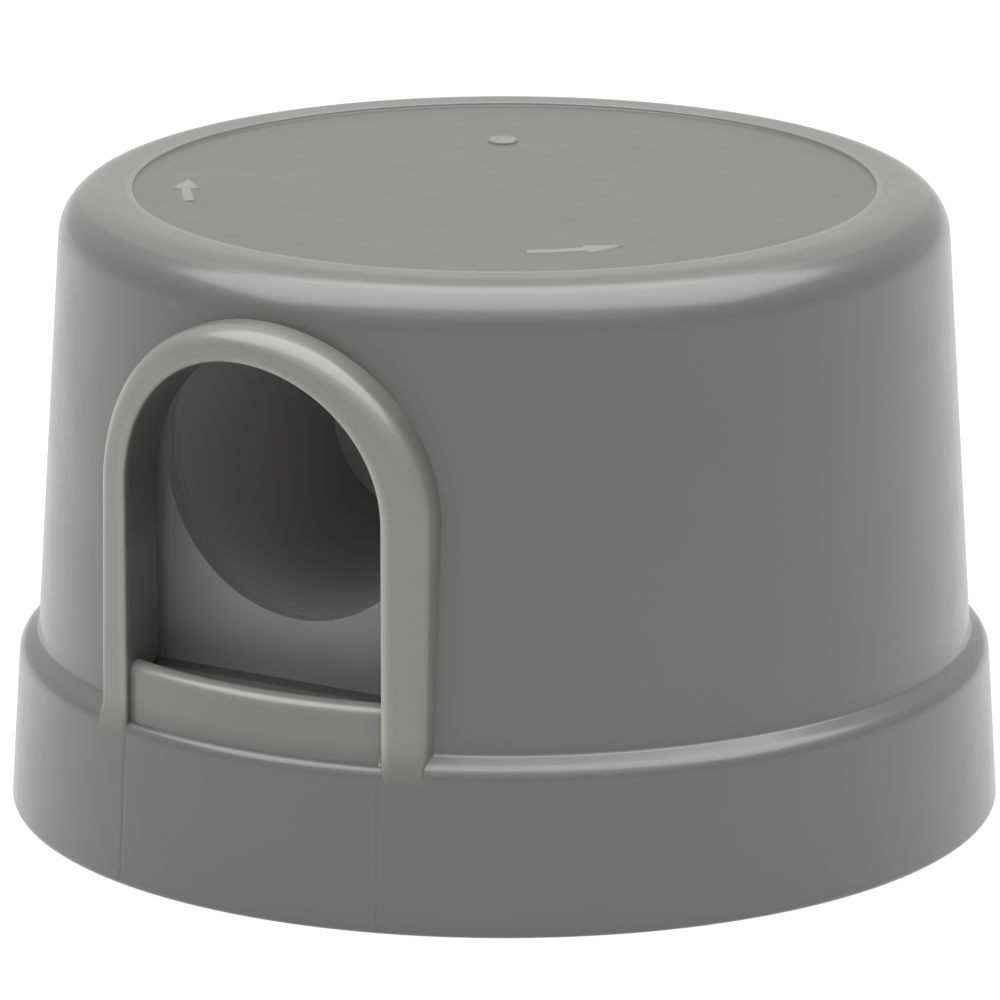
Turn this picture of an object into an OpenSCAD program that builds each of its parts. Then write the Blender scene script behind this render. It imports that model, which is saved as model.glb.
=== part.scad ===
// Photocell switch for a street light: a drafted round cover with an arched light window, a deep skirt,
// and a base with three locking blades. Millimetres. The rim of the skirt lies in the plane z = 0 and is
// centred on the origin; z points up and the window faces -y.

/* [Cover] */
// Outside diameter of the skirt at its rim
skirt_d = 84; // [83:0.5:90]
// Height of the skirt up to its ledge
skirt_h = 13.6; // [13.2:0.1:14.2]
// Height of the sloped shoulder above the skirt
shoulder_h = 1.3; // [0.8:0.1:1.8]
// Step from the skirt face in to the body face
shoulder_step = 1.54; // [1.3:0.02:1.8]
// Overall height of the cover
cover_h = 53; // [53:0.5:60]
// Draft angle of the skirt and body faces
draft = 3.5; // [2.5:0.1:3.8]
// Wall thickness of the skirt and body
wall = 2.4; // [2:0.1:2.6]
// Thickness of the top at its rim
top_wall = 2.8; // [2.2:0.1:2.9]
// Radius of the rounded top edge
top_round = 4.2; // [3:0.1:4.6]
// Radius of the sunk disc in the top
disc_r = 31.2; // [28:0.1:32]
// Depth of the sunk disc
disc_depth = 0.3; // [0.2:0.1:1]
// Thickness of the ledge between skirt and body
ledge_t = 1.8; // [1.4:0.1:2.4]

/* [Window] */
// Half width of the window opening and radius of its arch
window_half = 12.5; // [11.5:0.1:12.7]
// Distance of the frame's arch below the top of the cover
arch_gap = 3.65; // [3.4:0.05:4.2]
// Height of the sill
sill_z = 18.8; // [18.4:0.1:21]
// Distance of the sill panel behind the frame's face
panel_inset = 0.45; // [0.3:0.05:0.8]
// Width of the raised frame around the opening
frame_w = 3.25; // [2.5:0.05:3.8]
// Distance of the frame face behind the top edge of the skirt
frame_inset = 0.07; // [0.05:0.01:0.3]
// Distance of the pane seat behind the body face
pane_setback = 4.2; // [4.1:0.1:4.6]
// Thickness of the clear pane
pane_t = 2.1; // [1.5:0.1:2.5]
// Overlap of the pane past the opening
pane_lap = 1; // [0.6:0.1:1]

/* [Light tunnel] */
// Width of the wall around the round hole behind the pane
hole_margin = 1.33; // [1.3:0.01:4]
// Clearance of the holder under the top of the cover
holder_gap = 0.4; // [0.3:0.05:0.8]
// Thickness of the lip around the round hole
lip_t = 1.1; // [0.8:0.1:1.6]
// Lap of the front plate behind the edge of the window opening
plate_lap = 1.7; // [1.65:0.05:1.8]
// Wall thickness of the tunnel
tunnel_wall = 0.9; // [0.7:0.1:1]
// Narrowing of the light tunnel from the round hole to its back
tunnel_taper = 4.67; // [4:0.01:5.8]
// Distance of the tunnel floor from the axis
tunnel_back_y = 14; // [13.5:0.1:16]
// Diameter of the light-sensitive cell
cell_d = 5.6; // [5:0.2:12]
// Thickness of the cell
cell_t = 2.4; // [1.8:0.1:3]

/* [Base] */
// Height of the underside of the base plate above the rim
base_z = 14; // [13:0.5:14]
// Thickness of the base plate
base_t = 3.5; // [3:0.1:3.5]
// Gap between the base plate and the cover
base_fit = 0.5; // [0.3:0.1:0.8]
// Gap between the blades and the bore of the gasket
gasket_blade_gap = 2.4; // [2.2:0.1:5]
// Gap between the gasket and the heads of the base screws
gasket_gap = 0.8; // [0.5:0.1:2]
// Thickness of the gasket
gasket_t = 4; // [2:0.5:6]
// Diameter of the base screws
screw_d = 3; // [2.5:0.1:3.5]
// Depth of the base screws inside the cover bosses
screw_grip = 8; // [5:0.5:10]
// Outside diameter of the cover bosses
boss_d = 6.4; // [6:0.1:7]

/* [Blades] */
// Radius of the circle that the blades stand on
blade_r = 16.7; // [15.5:0.1:17]
// Thickness of the blades
blade_t = 1.6; // [1.2:0.1:1.8]
// Width of the line and load blades
blade_w = 8.8; // [7:0.1:9.5]
// Width of the neutral blade
neutral_w = 11; // [10:0.1:12]
// Reach of the locking foot at each blade tip
hook_w = 3.6; // [2:0.1:4]
// Height of the locking foot
hook_h = 4.4; // [3:0.1:6]
// Height of the blade tips above the rim
tip_z = 0.5; // [0.2:0.1:3]
// Width of the inner foot and tab of each blade
tab_w = 5; // [4:0.1:5.4]
// Diameter of the blade rivets
rivet_d = 3; // [2.4:0.1:3.2]

/* [Circuit board] */
// Diameter of the circuit board
board_d = 56; // [54:0.5:56.5]
// Thickness of the circuit board
board_t = 1.6; // [1:0.1:1.6]
// Height of the pillars under the circuit board
pillar_h = 4.5; // [4.5:0.1:4.8]
// Diameter of the board screws
board_screw_d = 2.3; // [2:0.1:2.6]
// Diameter of the component leads
lead_d = 0.8; // [0.6:0.05:0.9]

/* [Components] */
// Relay width, length and height
relay_w = 15.6; // [12:0.1:15.8]
relay_l = 19.4; // [15:0.1:19.6]
relay_h = 15.4; // [10:0.1:20]
// Dropper capacitor width, length and height
film_w = 8.5; // [6:0.1:8.6]
film_l = 18; // [16:0.1:18.4]
film_h = 15; // [10:0.1:20]
// Smoothing capacitor diameter and height
can_d = 8; // [5:0.1:8.4]
can_h = 11.5; // [8:0.1:20]
// Surge varistor diameter and thickness
varistor_d = 13; // [10:0.1:13.4]
varistor_t = 4.2; // [3:0.1:5]
// Rectifier diode diameter and length
diode_d = 2.6; // [2:0.1:2.7]
diode_l = 5.2; // [4:0.1:6]
// Zener diode diameter and length
zener_d = 1.8; // [1.4:0.1:2.4]
zener_l = 3.8; // [3:0.1:4.6]
// Resistor diameter and length
resistor_d = 2.4; // [1.8:0.1:2.6]
resistor_l = 6.2; // [5:0.1:6.8]
// Transistor diameter and height
transistor_d = 4.6; // [4:0.1:5]
transistor_h = 4.6; // [4:0.1:5.4]

/* [Hidden] */
$fn = 96;

// Names of the sub-parts, in drawing order

// Running clearances, and the overlap that carries a cut past a face
slide_fit = 0.15;
bore_fit = 0.1;
thread_fit = 0.05;
past = 1;

// Radii of the drafted faces at a height
function skirt_face(z) = skirt_d / 2 - tan(draft) * z;
function skirt_bore(z) = skirt_face(z) - wall / cos(draft);
function body_face(z) = skirt_face(z) - shoulder_step;
function body_bore(z) = body_face(z) - wall / cos(draft);

// Cover levels
shoulder_z = skirt_h + shoulder_h;
step_z = skirt_h - ledge_t;
ceiling_z = cover_h - top_wall;
bevel = wall / 2;
round_z = cover_h - top_round;
round_x = body_face(round_z) - top_round / cos(draft);

// Window levels
frame_half = window_half + frame_w;
window_spring = cover_h - arch_gap - frame_half;
frame_face = skirt_face(skirt_h) - frame_inset;
panel_face = frame_face - panel_inset;
panel_back = panel_face - wall;
seat_y = body_face(window_spring) - pane_setback;
seat_half = window_half + 2 * pane_lap;
pane_half = window_half + pane_lap;
plate_y = seat_y - pane_t;
lip_y = plate_y - lip_t;
plate_half = min(window_half + plate_lap, (ceiling_z - base_z - base_t) / 2 - holder_gap);
hole_r = plate_half - hole_margin;
hole_z = ceiling_z - holder_gap - plate_half;
near_y = seat_y / 2;
reach = skirt_d / 2 + past;

// Light tunnel levels
tunnel_back_r = hole_r - tunnel_taper;
tunnel_front_r = plate_half - tunnel_wall - 2 * bore_fit;
tunnel_floor_t = 1.2;
holder_foot_t = 1.5;
holder_foot_l = 3.4;
holder_foot_half = 9;
peg_r = 1.2;
peg_x = 6;
peg_y = lip_y - holder_foot_l / 2;
peg_l = 2.6;
cell_lead_x = 1.7;
cell_lead_run = 3.2;
cell_lead_y = tunnel_back_y - cell_lead_run;

// Base levels
base_top = base_z + base_t;
base_r = body_bore(base_top) - base_fit;
boss_inset = 4;
boss_r = body_bore(base_top) - boss_inset;
boss_angles = [90, 210, 330];
boss_end = 3;
boss_h = screw_grip + boss_end;
rib_w = 2.2;
screw_head_r = 0.9 * screw_d;
screw_head_h = 0.55 * screw_d;
screw_head_gap = 0.3;
gasket_od = 2 * (boss_r - screw_head_r - gasket_gap);
gasket_id = 2 * (blade_r + blade_t / 2 + gasket_blade_gap);
locator_t = 1.2;
locator_h = 1.4;

// Blade levels
blade_angles = [90, 210, 330];
foot_top = base_top + blade_t;
tab_r = 8.3;
rivet_r = 12.3;
rivet_head_r = 0.9 * rivet_d;
rivet_head_h = 0.3 * rivet_d;
function arc_angle(w) = w / blade_r * 180 / PI;

// Circuit board levels
board_z = base_top + pillar_h;
board_top = board_z + board_t;
board_flat_y = 21.5;
notch_half = tunnel_back_r + tunnel_wall;
notch_y = tunnel_back_y - tunnel_floor_t - 2 * slide_fit;
board_r = board_d / 2;
pillar_r = 2.6;
pillar_at = [[23.2, 6.2], [-23.2, 6.2], [18.4, -15.4], [-18.4, -15.4]];
board_screw_grip = pillar_h - 1;
board_head_r = board_screw_d;
board_head_h = 0.6 * board_screw_d;
tab_top = board_top + blade_t;
lead_r = lead_d / 2;
lead_tail = 1.2;
solder_r = 2.2 * lead_r;
solder_h = 0.9;

// Component positions on the board
relay_at = [-12, 9];
relay_pins = [[-5.5, -7.6], [5.5, -7.6], [-5.5, 7.2], [5.5, 7.2], [0, -7.6]];
film_at = [13.5, 8];
film_pitch = 15;
can_at = [22.3, -3.2];
can_pitch = 3.5;
varistor_at = [0, 23.6];
varistor_pitch = 7.5;
varistor_lift = 1;
diode_at = [[-2.6, 0.8], [0.2, 0.8], [3, 0.8], [6.3, 5.5]];
diode_pitch = 10;
zener_at = [5.8, 16.6];
zener_pitch = 7.4;
resistor_at = [[-1.2, 15.2], [2.2, 15.2]];
resistor_pitch = 10;
side_resistor_at = [-17, -9];
transistor_at = [16.5, -9.5];
transistor_pitch = 1.8;
transistor_lift = 2;

// Every place where a lead passes through the board
lead_at = concat(
    [for (p = relay_pins) relay_at + p],
    [for (s = [-1, 1]) film_at + [0, s * film_pitch / 2]],
    [for (s = [-1, 1]) can_at + [0, s * can_pitch / 2]],
    [for (s = [-1, 1]) varistor_at + [s * varistor_pitch / 2, 0]],
    [for (p = diode_at) for (s = [-1, 1]) p + [0, s * diode_pitch / 2]],
    [for (s = [-1, 1]) zener_at + [0, s * zener_pitch / 2]],
    [for (p = resistor_at) for (s = [-1, 1]) p + [0, s * resistor_pitch / 2]],
    [for (s = [-1, 1]) side_resistor_at + [s * resistor_pitch / 2, 0]],
    [for (s = [-1, 0, 1]) transistor_at + [s * transistor_pitch, 0]],
    [for (s = [-1, 1]) [s * cell_lead_x, -cell_lead_y]]
);

// Outline of an arched opening seen from the front
module arch(half, foot_z, spring_z) {
    translate([-half, foot_z]) square([2 * half, spring_z - foot_z]);
    intersection() {
        translate([0, spring_z]) circle(r = half);
        translate([-half, foot_z]) square([2 * half, spring_z - foot_z + half]);
    }
}

// Arched block that runs forward from y_near to y_far
module arch_block(half, foot_z, spring_z, y_near, y_far) {
    rotate([90, 0, 0])
        translate([0, 0, y_near])
            linear_extrude(height = y_far - y_near) arch(half, foot_z, spring_z);
}

// Ring sector between two angles
module sector(r_in, r_out, from, to, z_low, z_high) {
    middle = (from + to) / 2;
    far = 2 * r_out;
    translate([0, 0, z_low]) intersection() {
        difference() {
            cylinder(r = r_out, h = z_high - z_low);
            translate([0, 0, -past]) cylinder(r = r_in, h = z_high - z_low + 2 * past);
        }
        translate([0, 0, -past])
            linear_extrude(height = z_high - z_low + 2 * past)
                polygon([
                    [0, 0],
                    [far * cos(from), far * sin(from)],
                    [far * cos(middle), far * sin(middle)],
                    [far * cos(to), far * sin(to)]
                ]);
    }
}

// Half section of the cover's shell
module shell_section() {
    difference() {
        union() {
            polygon([
                [0, 0],
                [skirt_face(0), 0],
                [skirt_face(skirt_h), skirt_h],
                [body_face(skirt_h), skirt_h],
                [round_x + top_round * cos(draft), round_z + top_round * sin(draft)],
                [round_x, cover_h],
                [0, cover_h]
            ]);
            translate([round_x, round_z]) circle(r = top_round);
        }
        polygon([
            [0, -past],
            [skirt_bore(-past), -past],
            [skirt_bore(step_z), step_z],
            [body_bore(step_z), step_z],
            [body_bore(ceiling_z - bevel), ceiling_z - bevel],
            [body_bore(ceiling_z) - bevel, ceiling_z],
            [0, ceiling_z]
        ]);
        translate([0, cover_h - disc_depth]) square([disc_r, 2 * disc_depth]);
    }
}

// Sloped shoulder that runs round the skirt, broken between the frame legs
module shoulder() {
    difference() {
        rotate_extrude()
            polygon([
                [body_face(skirt_h) - bevel, skirt_h],
                [skirt_face(skirt_h), skirt_h],
                [body_face(shoulder_z), shoulder_z],
                [body_face(shoulder_z) - bevel, shoulder_z]
            ]);
        arch_block(window_half, step_z, window_spring, near_y, reach);
    }
}

// Raised frame: two legs and an arch with an upright round face
module window_frame() {
    intersection() {
        difference() {
            arch_block(frame_half, skirt_h - ledge_t / 2, window_spring, near_y, reach);
            arch_block(window_half, skirt_h - ledge_t, window_spring, near_y - past, reach + past);
        }
        rotate_extrude()
            polygon([
                [body_face(step_z) - bevel, step_z],
                [frame_face, step_z],
                [frame_face, cover_h],
                [body_face(cover_h) - bevel, cover_h]
            ]);
    }
}

// Sill panel between the frame legs
module sill_panel() {
    intersection() {
        arch_block(window_half + frame_w / 2, skirt_h - ledge_t / 2, sill_z, near_y, reach);
        rotate_extrude()
            polygon([
                [panel_back, step_z],
                [panel_face, step_z],
                [panel_face, sill_z],
                [panel_back, sill_z]
            ]);
    }
}

// Pad inside the cover that brings the pane seat flat over the arch
module pane_seat() {
    intersection() {
        arch_block(seat_half, window_spring, window_spring + past / 2, seat_y, reach);
        rotate_extrude()
            polygon([
                [0, window_spring],
                [body_face(window_spring) - bevel, window_spring],
                [body_face(ceiling_z) - bevel, ceiling_z],
                [0, ceiling_z]
            ]);
    }
}

// Screw boss tied to the cover wall by a rib
module boss() {
    translate([boss_r, 0, base_top]) cylinder(d = boss_d, h = boss_h);
    translate([boss_r, -rib_w / 2, base_top])
        cube([body_bore(base_top) + bevel / 2 - boss_r, rib_w, boss_h]);
}

// Moulded cover
module cover() {
    color("gray")
    difference() {
        union() {
            rotate_extrude() shell_section();
            shoulder();
            window_frame();
            sill_panel();
            pane_seat();
            for (a = boss_angles) rotate(a) boss();
        }
        arch_block(window_half, sill_z, window_spring, near_y, reach + past);
        intersection() {
            arch_block(window_half, base_top - slide_fit, window_spring, near_y, reach + past);
            cylinder(r = panel_back, h = cover_h);
        }
        arch_block(
            pane_half + slide_fit, base_top - slide_fit, window_spring, near_y, seat_y
        );
        for (a = boss_angles)
            rotate(a)
                translate([boss_r, 0, base_top - past])
                    cylinder(d = screw_d + 2 * thread_fit, h = screw_grip + 2 * past);
    }
}

// Clear pane between the cover's seat and the cell holder
module window_pane() {
    color("lightblue", 0.4)
        arch_block(pane_half, base_top, window_spring, plate_y, seat_y);
}

// Cell holder: front plate with a round hole, and a tapered light tunnel
module cell_holder() {
    color("dimgray")
    difference() {
        union() {
            arch_block(plate_half, base_top, hole_z, lip_y, plate_y);
            rotate([90, 0, 0])
                translate([0, hole_z, tunnel_back_y - tunnel_floor_t])
                    cylinder(
                        r1 = tunnel_back_r + tunnel_wall,
                        r2 = tunnel_front_r + tunnel_wall,
                        h = lip_y - tunnel_back_y + tunnel_floor_t + lip_t / 2
                    );
            translate([-holder_foot_half, -lip_y - lip_t / 2, base_top])
                cube([2 * holder_foot_half, holder_foot_l + lip_t / 2, holder_foot_t]);
            for (s = [-1, 1])
                translate([s * peg_x, -peg_y, base_top - peg_l])
                    cylinder(r = peg_r, h = peg_l + holder_foot_t / 2);
        }
        rotate([90, 0, 0]) translate([0, hole_z, tunnel_back_y])
            cylinder(r1 = tunnel_back_r, r2 = tunnel_front_r, h = lip_y - tunnel_back_y);
        rotate([90, 0, 0]) translate([0, hole_z, lip_y - past])
            cylinder(r = hole_r, h = lip_t + 2 * past);
        for (s = [-1, 1])
            rotate([90, 0, 0])
                translate([s * cell_lead_x, hole_z, tunnel_back_y - 2 * tunnel_floor_t])
                    cylinder(r = lead_r + bore_fit, h = 3 * tunnel_floor_t);
    }
}

// Light-sensitive cell with its two formed leads
module photocell() {
    color("orange")
    union() {
        rotate([90, 0, 0]) translate([0, hole_z, tunnel_back_y])
            cylinder(d = cell_d, h = cell_t);
        for (s = [-1, 1]) {
            rotate([90, 0, 0]) translate([s * cell_lead_x, hole_z, cell_lead_y])
                cylinder(r = lead_r, h = tunnel_back_y - cell_lead_y + cell_t / 2);
            translate([s * cell_lead_x, -cell_lead_y, hole_z]) sphere(r = lead_r);
            translate([s * cell_lead_x, -cell_lead_y, board_z - lead_tail])
                cylinder(r = lead_r, h = hole_z - board_z + lead_tail);
        }
    }
}

// Slot in the base that lets one blade through with its locking foot
module blade_slot(w) {
    half = arc_angle(w / 2 + slide_fit);
    sector(
        blade_r - blade_t / 2 - slide_fit, blade_r + blade_t / 2 + slide_fit,
        -half, half + arc_angle(hook_w), base_z - locator_h - past, base_top + past
    );
}

// Moulded base plate with its pillars and gasket locator
module base_plate() {
    color("darkslategray")
    difference() {
        union() {
            translate([0, 0, base_z]) cylinder(r = base_r, h = base_t);
            translate([0, 0, base_z - locator_h]) difference() {
                cylinder(d = gasket_id - 2 * bore_fit, h = locator_h + base_t / 2);
                translate([0, 0, -past])
                    cylinder(d = gasket_id - 2 * bore_fit - 2 * locator_t, h = locator_h + past);
            }
            for (p = pillar_at)
                translate([p[0], p[1], base_z + base_t / 2])
                    cylinder(r = pillar_r, h = pillar_h + base_t / 2);
        }
        rotate(blade_angles[0]) blade_slot(neutral_w);
        rotate(blade_angles[1]) blade_slot(blade_w);
        rotate(blade_angles[2]) blade_slot(blade_w);
        for (a = blade_angles)
            rotate(a) translate([rivet_r, 0, base_z - past])
                cylinder(d = rivet_d + 2 * bore_fit, h = base_t + 2 * past);
        for (a = boss_angles)
            rotate(a) translate([boss_r, 0, base_z - past]) {
                cylinder(d = screw_d + 2 * slide_fit, h = base_t + 2 * past);
                cylinder(r = screw_head_r + screw_head_gap, h = screw_head_h + past);
            }
        for (p = pillar_at)
            translate([p[0], p[1], board_z - board_screw_grip])
                cylinder(d = board_screw_d + 2 * thread_fit, h = pillar_h);
        for (s = [-1, 1])
            translate([s * peg_x, -peg_y, base_z - past])
                cylinder(r = peg_r + thread_fit, h = base_t + 2 * past);
    }
}

// Ring gasket under the base
module gasket() {
    color("black")
    translate([0, 0, base_z - gasket_t]) difference() {
        cylinder(d = gasket_od, h = gasket_t);
        translate([0, 0, -past]) cylinder(d = gasket_id, h = gasket_t + 2 * past);
    }
}

// Screws that hold the base to the cover
module base_screws() {
    color("silver")
    for (a = boss_angles)
        rotate(a) translate([boss_r, 0, base_z]) {
            cylinder(r = screw_head_r, h = screw_head_h);
            cylinder(d = screw_d, h = base_t + screw_grip);
        }
}

// One locking blade with its hooked tip, riveted foot and board tab
module blade(w) {
    half = arc_angle(w / 2);
    r_in = blade_r - blade_t / 2;
    r_out = blade_r + blade_t / 2;
    difference() {
        union() {
            sector(r_in, r_out, -half, half, tip_z, foot_top);
            sector(r_in, r_out, half - arc_angle(past), half + arc_angle(hook_w), tip_z, tip_z + hook_h);
            translate([tab_r - blade_t / 2, -tab_w / 2, base_top])
                cube([blade_r - tab_r + blade_t / 4, tab_w, blade_t]);
            translate([tab_r - blade_t / 2, -tab_w / 2, base_top])
                cube([blade_t, tab_w, tab_top - base_top]);
        }
        translate([rivet_r, 0, base_top - past])
            cylinder(d = rivet_d + 2 * bore_fit, h = blade_t + 2 * past);
    }
}

// Neutral blade, the widest of the three
module neutral_blade() {
    color("goldenrod") rotate(blade_angles[0]) blade(neutral_w);
}

// Line blade
module line_blade() {
    color("goldenrod") rotate(blade_angles[1]) blade(blade_w);
}

// Load blade
module load_blade() {
    color("goldenrod") rotate(blade_angles[2]) blade(blade_w);
}

// Rivets that hold the blades to the base
module blade_rivets() {
    color("silver")
    for (a = blade_angles)
        rotate(a) translate([rivet_r, 0, 0]) {
            translate([0, 0, base_z - rivet_head_h]) cylinder(r = rivet_head_r, h = rivet_head_h);
            translate([0, 0, base_z - rivet_head_h / 2])
                cylinder(d = rivet_d, h = base_t + blade_t + rivet_head_h);
            translate([0, 0, foot_top]) cylinder(r = rivet_head_r, h = rivet_head_h);
        }
}

// Round circuit board with a flat front edge and a notch under the light tunnel
module circuit_board() {
    color("darkgreen")
    difference() {
        translate([0, 0, board_z]) cylinder(r = board_r, h = board_t);
        translate([-board_r, -2 * board_r, board_z - past])
            cube([2 * board_r, 2 * board_r - board_flat_y, board_t + 2 * past]);
        translate([-notch_half, -board_r, board_z - past])
            cube([2 * notch_half, board_r - notch_y, board_t + 2 * past]);
        for (a = blade_angles)
            rotate(a)
                translate([tab_r - blade_t / 2 - slide_fit, -tab_w / 2 - slide_fit, board_z - past])
                    cube([blade_t + 2 * slide_fit, tab_w + 2 * slide_fit, board_t + 2 * past]);
        for (p = pillar_at)
            translate([p[0], p[1], board_z - past])
                cylinder(d = board_screw_d + 2 * slide_fit, h = board_t + 2 * past);
        for (p = lead_at)
            translate([p[0], p[1], board_z - past])
                cylinder(r = lead_r + bore_fit, h = board_t + 2 * past);
    }
}

// Screws that hold the board to the base pillars
module board_screws() {
    color("silver")
    for (p = pillar_at)
        translate([p[0], p[1], board_top]) {
            cylinder(r = board_head_r, h = board_head_h);
            translate([0, 0, -board_t - board_screw_grip + past / 2])
                cylinder(d = board_screw_d, h = board_t + board_screw_grip);
        }
}

// Upright lead from below the board to a height above it
module lead(p, rise) {
    translate([p[0], p[1], board_z - lead_tail])
        cylinder(r = lead_r, h = lead_tail + board_t + rise);
}

// Lying component body with two leads bent down into the board
module axial(p, d, l, pitch) {
    translate([p[0], p[1], board_top + d / 2]) {
        rotate([90, 0, 0]) cylinder(d = d, h = l, center = true);
        rotate([90, 0, 0]) cylinder(r = lead_r, h = pitch, center = true);
    }
    for (s = [-1, 1]) {
        translate([p[0], p[1] + s * pitch / 2, board_top + d / 2]) sphere(r = lead_r);
        lead(p + [0, s * pitch / 2], d / 2);
    }
}

// Sealed relay with its pins
module relay() {
    color("steelblue")
    union() {
        translate([relay_at[0] - relay_w / 2, relay_at[1] - relay_l / 2, board_top])
            cube([relay_w, relay_l, relay_h]);
        for (p = relay_pins) lead(relay_at + p, past);
    }
}

// Film capacitor that drops the supply voltage
module dropper_capacitor() {
    color("firebrick")
    union() {
        translate([film_at[0] - film_w / 2, film_at[1] - film_l / 2, board_top])
            cube([film_w, film_l, film_h]);
        for (s = [-1, 1]) lead(film_at + [0, s * film_pitch / 2], past);
    }
}

// Smoothing capacitor in a round can
module smoothing_capacitor() {
    color("navy")
    union() {
        translate([can_at[0], can_at[1], board_top]) cylinder(d = can_d, h = can_h);
        for (s = [-1, 1]) lead(can_at + [0, s * can_pitch / 2], past);
    }
}

// Disc varistor standing on its leads
module surge_varistor() {
    color("royalblue")
    union() {
        translate([varistor_at[0], varistor_at[1], board_top + varistor_lift + varistor_d / 2])
            rotate([90, 0, 0]) cylinder(d = varistor_d, h = varistor_t, center = true);
        for (s = [-1, 1])
            lead(varistor_at + [s * varistor_pitch / 2, 0], varistor_lift + varistor_d / 4);
    }
}

// Rectifier diodes
module rectifier_diodes() {
    color("black")
    for (p = diode_at) axial(p, diode_d, diode_l, diode_pitch);
}

// Zener diode
module zener_diode() {
    color("indianred") axial(zener_at, zener_d, zener_l, zener_pitch);
}

// Resistors, two in a row and one across the side of the board
module resistors() {
    color("tan") {
        for (p = resistor_at) axial(p, resistor_d, resistor_l, resistor_pitch);
        translate([side_resistor_at[0], side_resistor_at[1], 0])
            rotate(90) axial([0, 0], resistor_d, resistor_l, resistor_pitch);
    }
}

// Transistor with a flat front
module transistor() {
    color("black")
    union() {
        translate([transistor_at[0], transistor_at[1], board_top + transistor_lift])
            difference() {
                cylinder(d = transistor_d, h = transistor_h);
                translate([-transistor_d, -transistor_d - transistor_d / 4, -past])
                    cube([2 * transistor_d, transistor_d, transistor_h + 2 * past]);
            }
        for (s = [-1, 0, 1])
            lead(transistor_at + [s * transistor_pitch, 0], transistor_lift + transistor_h / 2);
    }
}

// Solder cones under the board, one on each lead
module solder_joints() {
    color("silver")
    for (p = lead_at)
        translate([p[0], p[1], board_z - solder_h]) difference() {
            cylinder(r1 = lead_r + bore_fit, r2 = solder_r, h = solder_h);
            translate([0, 0, -past]) cylinder(r = lead_r, h = solder_h + 2 * past);
        }
}

cover();
window_pane();
cell_holder();
photocell();
base_plate();
gasket();
base_screws();
neutral_blade();
line_blade();
load_blade();
blade_rivets();
circuit_board();
board_screws();
relay();
dropper_capacitor();
smoothing_capacitor();
surge_varistor();
rectifier_diodes();
zener_diode();
resistors();
transistor();
solder_joints();
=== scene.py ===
"""Looks of the photocell switch: smooth moulded cover, light window, base and blades, camera and light."""

import math

import bmesh
import bpy
import numpy as np
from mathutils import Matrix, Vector


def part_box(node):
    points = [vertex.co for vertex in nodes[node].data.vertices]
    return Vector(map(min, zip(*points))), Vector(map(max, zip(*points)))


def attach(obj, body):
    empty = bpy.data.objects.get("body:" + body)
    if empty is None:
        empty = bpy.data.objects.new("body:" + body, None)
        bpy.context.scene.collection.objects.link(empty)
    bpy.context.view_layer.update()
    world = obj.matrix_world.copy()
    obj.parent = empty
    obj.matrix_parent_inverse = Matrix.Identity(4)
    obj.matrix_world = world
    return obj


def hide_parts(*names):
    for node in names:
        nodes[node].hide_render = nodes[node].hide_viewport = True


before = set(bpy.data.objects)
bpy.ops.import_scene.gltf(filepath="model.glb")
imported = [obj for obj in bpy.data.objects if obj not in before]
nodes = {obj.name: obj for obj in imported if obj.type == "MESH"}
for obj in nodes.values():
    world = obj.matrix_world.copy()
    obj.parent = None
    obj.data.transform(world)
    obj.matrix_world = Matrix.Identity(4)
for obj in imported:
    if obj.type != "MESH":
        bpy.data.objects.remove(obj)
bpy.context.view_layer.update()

# Units: lengths below are millimetres, Blender gets metres
MM = 0.001

# Cover sizes; the shoulder's are those before its edges are rounded
SKIRT_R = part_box("cover")[1].x / MM
COVER_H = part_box("cover")[1].z / MM
DRAFT_DEGREES = 3.5
SKIRT_H = 13.6
SHOULDER_EDGE_Z = 13.8
SHOULDER_Z = 14.8
SHOULDER_STEP = 1.54
WALL = 2.4
TOP_WALL = 2.8
TOP_ROUND = 4.2
DISC_R = 31.2
DISC_DEPTH = 0.3
BORE_STEP_Z = 11.8

# Window sizes; the panel lies between the legs, under the sill
WINDOW_HALF = 12.5
FRAME_HALF = 15.7
SPRING_Z = 33.6
LEDGE_Z = 13.8
PANEL_INSET = 0.7
PANEL_TOP_Z = 17.4
SHELF_Z = 17.55
SILL_Z = 18.75
SILL_DEPTH = 2.1
SILL_TUCK = 0.9
PANE_Y = 34.2

# Roundings of the moulded edges, draft of the jamb, and the arch's trim outside and opening inside at its top
RIM_EDGE = 0.45
SKIRT_EDGE = 1.7
LEDGE_DROP = 1.25
SHOULDER_FILLET = 0.5
DISC_EDGE = 0.14
FRAME_EDGE_SHARE = 0.5
JAMB_EDGE = 0.45
JAMB_DRAFT = 0.15
ARCH_TRIM = 0.2
ARCH_OPEN = 0.3
SILL_EDGE = 1.05
SILL_BACK_EDGE = 0.9

# Camera, from a fit of the photograph
VIEW_DEGREES = 31.7
VIEW_AZIMUTH = math.radians(VIEW_DEGREES)
VIEW_ELEVATION = math.radians(15.2)
VIEW_DISTANCE = 735
VIEW_TARGET_Z = 25.45
FOCAL_PIXELS = 8669
IMAGE_PIXELS = 1000
SENSOR = 36
AXIS_PIXEL_X = 504.4
CLIP_END = 10000

# Derived sizes
DRAFT = math.tan(math.radians(DRAFT_DEGREES))
DRAFT_COS = math.cos(math.radians(DRAFT_DEGREES))


def skirt_face(z):
    """Radius of the skirt's drafted face at a height."""
    return SKIRT_R - DRAFT * z


def body_face(z):
    """Radius of the body's drafted face at a height."""
    return skirt_face(z) - SHOULDER_STEP


def skirt_bore(z):
    """Radius of the skirt's inner face at a height."""
    return skirt_face(z) - WALL / DRAFT_COS


def body_bore(z):
    """Radius of the body's inner face at a height."""
    return body_face(z) - WALL / DRAFT_COS


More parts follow.
